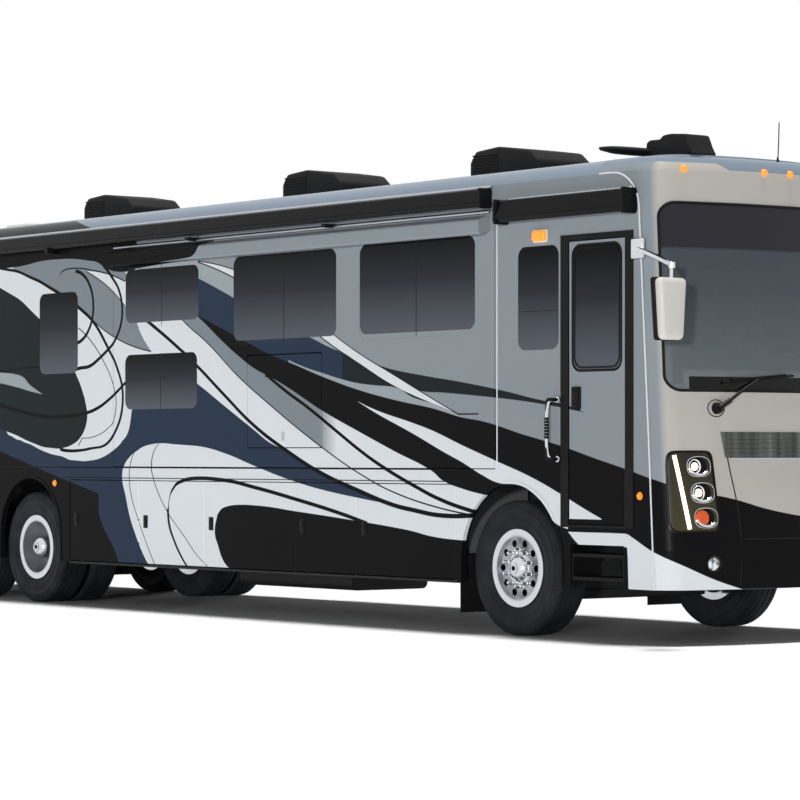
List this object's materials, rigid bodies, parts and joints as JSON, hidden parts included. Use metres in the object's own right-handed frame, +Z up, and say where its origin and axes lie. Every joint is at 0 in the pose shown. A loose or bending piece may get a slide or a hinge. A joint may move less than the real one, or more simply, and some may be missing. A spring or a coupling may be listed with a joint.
{
  "type": "motorhome",
  "caption": "Long rear-engined motorhome with a tag axle, opening slide-out rooms, luggage bays, entry door, awnings and roof air units.",
  "frame": {"origin": "on the floor, under the middle of the vehicle's box", "axes": "+X forward, +Y to the driver's side (left), +Z up"},
  "size_m": [13.24, 3.26, 4.0496],
  "materials": {
    "body_paint": "satin metallic paint in swept bands",
    "cap_paint": "pearl metallic paint",
    "roof_skin": "blue-grey metallic fibreglass",
    "window_glass": "dark tinted",
    "windshield_glass": "light tint",
    "tyre_rubber": "black",
    "rim_metal": "polished",
    "chassis_steel": "black chassis paint",
    "black_trim": "satin black",
    "floor_board": "plain board",
    "awning_metal": "gloss black",
    "lamp_lens": "clear and coloured lenses",
    "seat_leather": "pale",
    "dash_plastic": "grained",
    "unit_plastic": "moulded black",
    "mirror_shell": "silver",
    "tank_plastic": "black",
    "engine_metal": "dark",
    "bay_metal": "plain sheet"
  },
  "bodies": {
    "coach": {"chassis_rails": "chassis_steel", "cross_members": "chassis_steel", "front_axle": "chassis_steel", "rear_axles": "chassis_steel", "engine_block": "engine_metal", "holding_tank": "tank_plastic", "hitch_receiver": "chassis_steel", "house_floor": "floor_board", "right_wall": "body_paint", "left_wall": "body_paint", "roof_panel": "roof_skin", "front_cap": "cap_paint", "rear_cap": "body_paint", "windshield": "windshield_glass", "wall_glass": "window_glass", "right_skirt": "body_paint", "left_skirt": "body_paint", "basement_bays": "bay_metal", "entry_frame": "black_trim", "awnings": "awning_metal", "air_units": "unit_plastic", "roof_fittings": "unit_plastic", "mirrors": "mirror_shell", "dashboard": "dash_plastic", "cab_seats": "seat_leather", "grille": "black_trim", "lamps": "lamp_lens", "wipers": "black_trim"},
    "steering_left": {"knuckle_left": "chassis_steel"},
    "front_wheel_left": {"front_rim_left": "rim_metal", "front_tyre_left": "tyre_rubber"},
    "drive_wheel_left": {"drive_rim_left": "rim_metal", "drive_tyre_left": "tyre_rubber"},
    "tag_wheel_left": {"tag_rim_left": "rim_metal", "tag_tyre_left": "tyre_rubber"},
    "steering_right": {"knuckle_right": "chassis_steel"},
    "front_wheel_right": {"front_rim_right": "rim_metal", "front_tyre_right": "tyre_rubber"},
    "drive_wheel_right": {"drive_rim_right": "rim_metal", "drive_tyre_right": "tyre_rubber"},
    "tag_wheel_right": {"tag_rim_right": "rim_metal", "tag_tyre_right": "tyre_rubber"},
    "entry_door": {"entry_door": "body_paint", "entry_glass": "window_glass"},
    "bay_door_right_1": {"bay_door_right_1": "body_paint"},
    "bay_door_right_2": {"bay_door_right_2": "body_paint"},
    "bay_door_right_3": {"bay_door_right_3": "body_paint"},
    "bay_door_right_4": {"bay_door_right_4": "body_paint"},
    "bay_door_right_5": {"bay_door_right_5": "body_paint"},
    "bay_door_left_1": {"bay_door_left_1": "body_paint"},
    "bay_door_left_2": {"bay_door_left_2": "body_paint"},
    "bay_door_left_3": {"bay_door_left_3": "body_paint"},
    "bay_door_left_4": {"bay_door_left_4": "body_paint"},
    "slide_right": {"right_slide_room": "body_paint", "right_slide_glass": "window_glass"},
    "slide_left": {"left_slide_room": "body_paint", "left_slide_glass": "window_glass"},
    "media_door": {"media_door": "body_paint"},
    "engine_door": {"engine_door": "body_paint"},
    "entry_step": {"entry_step": "black_trim"}
  },
  "joints": [
    {"name": "steer_left", "type": "hinge", "parent": "coach", "child": "steering_left", "pos_m": [4.5, 0.93, 0.538], "axis": [0, 0, 1], "range_deg": [-40, 40]},
    {"name": "front_spin_left", "type": "hinge", "parent": "steering_left", "child": "front_wheel_left", "pos_m": [4.5, 1.069, 0.538], "axis": [0, 1, 0], "continuous": true},
    {"name": "drive_spin_left", "type": "hinge", "parent": "coach", "child": "drive_wheel_left", "pos_m": [-2.8, 1.069, 0.538], "axis": [0, 1, 0], "continuous": true},
    {"name": "tag_spin_left", "type": "hinge", "parent": "coach", "child": "tag_wheel_left", "pos_m": [-4.02, 1.069, 0.538], "axis": [0, 1, 0], "continuous": true},
    {"name": "steer_right", "type": "hinge", "parent": "coach", "child": "steering_right", "pos_m": [4.5, -0.93, 0.538], "axis": [0, 0, 1], "range_deg": [-40, 40]},
    {"name": "front_spin_right", "type": "hinge", "parent": "steering_right", "child": "front_wheel_right", "pos_m": [4.5, -1.069, 0.538], "axis": [0, 1, 0], "continuous": true},
    {"name": "drive_spin_right", "type": "hinge", "parent": "coach", "child": "drive_wheel_right", "pos_m": [-2.8, -1.069, 0.538], "axis": [0, 1, 0], "continuous": true},
    {"name": "tag_spin_right", "type": "hinge", "parent": "coach", "child": "tag_wheel_right", "pos_m": [-4.02, -1.069, 0.538], "axis": [0, 1, 0], "continuous": true},
    {"name": "entry_hinge", "type": "hinge", "parent": "coach", "child": "entry_door", "pos_m": [5.829, -1.259, 1.9], "axis": [0, 0, 1], "range_deg": [0, 90]},
    {"name": "bay_hinge_right_1", "type": "hinge", "parent": "coach", "child": "bay_door_right_1", "pos_m": [-0.88098, -1.262, 0.8], "axis": [0, 0, 1], "range_deg": [0, 90]},
    {"name": "bay_hinge_right_2", "type": "hinge", "parent": "coach", "child": "bay_door_right_2", "pos_m": [0.18701, -1.262, 0.8], "axis": [0, 0, 1], "range_deg": [0, 90]},
    {"name": "bay_hinge_right_3", "type": "hinge", "parent": "coach", "child": "bay_door_right_3", "pos_m": [1.57502, -1.262, 0.8], "axis": [0, 0, 1], "range_deg": [0, 90]},
    {"name": "bay_hinge_right_4", "type": "hinge", "parent": "coach", "child": "bay_door_right_4", "pos_m": [2.45702, -1.262, 0.8], "axis": [0, 0, 1], "range_deg": [0, 90]},
    {"name": "bay_hinge_right_5", "type": "hinge", "parent": "coach", "child": "bay_door_right_5", "pos_m": [3.792, -1.262, 0.8], "axis": [0, 0, 1], "range_deg": [0, 90]},
    {"name": "bay_hinge_left_1", "type": "hinge", "parent": "coach", "child": "bay_door_left_1", "pos_m": [-0.88098, 1.262, 0.8], "axis": [0, 0, -1], "range_deg": [0, 90]},
    {"name": "bay_hinge_left_2", "type": "hinge", "parent": "coach", "child": "bay_door_left_2", "pos_m": [0.98702, 1.262, 0.8], "axis": [0, 0, -1], "range_deg": [0, 90]},
    {"name": "bay_hinge_left_3", "type": "hinge", "parent": "coach", "child": "bay_door_left_3", "pos_m": [2.45702, 1.262, 0.8], "axis": [0, 0, -1], "range_deg": [0, 90]},
    {"name": "bay_hinge_left_4", "type": "hinge", "parent": "coach", "child": "bay_door_left_4", "pos_m": [3.792, 1.262, 0.8], "axis": [0, 0, -1], "range_deg": [0, 90]},
    {"name": "slide_right_out", "type": "slide", "parent": "coach", "child": "slide_right", "axis": [0, -1, 0], "range_m": [0, 0.74]},
    {"name": "slide_left_out", "type": "slide", "parent": "coach", "child": "slide_left", "axis": [0, 1, 0], "range_m": [0, 0.74]},
    {"name": "media_hinge", "type": "hinge", "parent": "slide_right", "child": "media_door", "pos_m": [1.433, -1.266, 2.304], "axis": [-1, 0, 0], "range_deg": [0, 90]},
    {"name": "engine_hinge", "type": "hinge", "parent": "coach", "child": "engine_door", "pos_m": [-6.479, 0, 1.269], "axis": [0, 1, 0], "range_deg": [0, 80]},
    {"name": "step_slide", "type": "slide", "parent": "coach", "child": "entry_step", "axis": [0, -1, 0], "range_m": [0, 0.3]}
  ],
  "couplings": [
    {"joint": "steer_right", "follows": "steer_left", "ratio": 1}
  ]
}
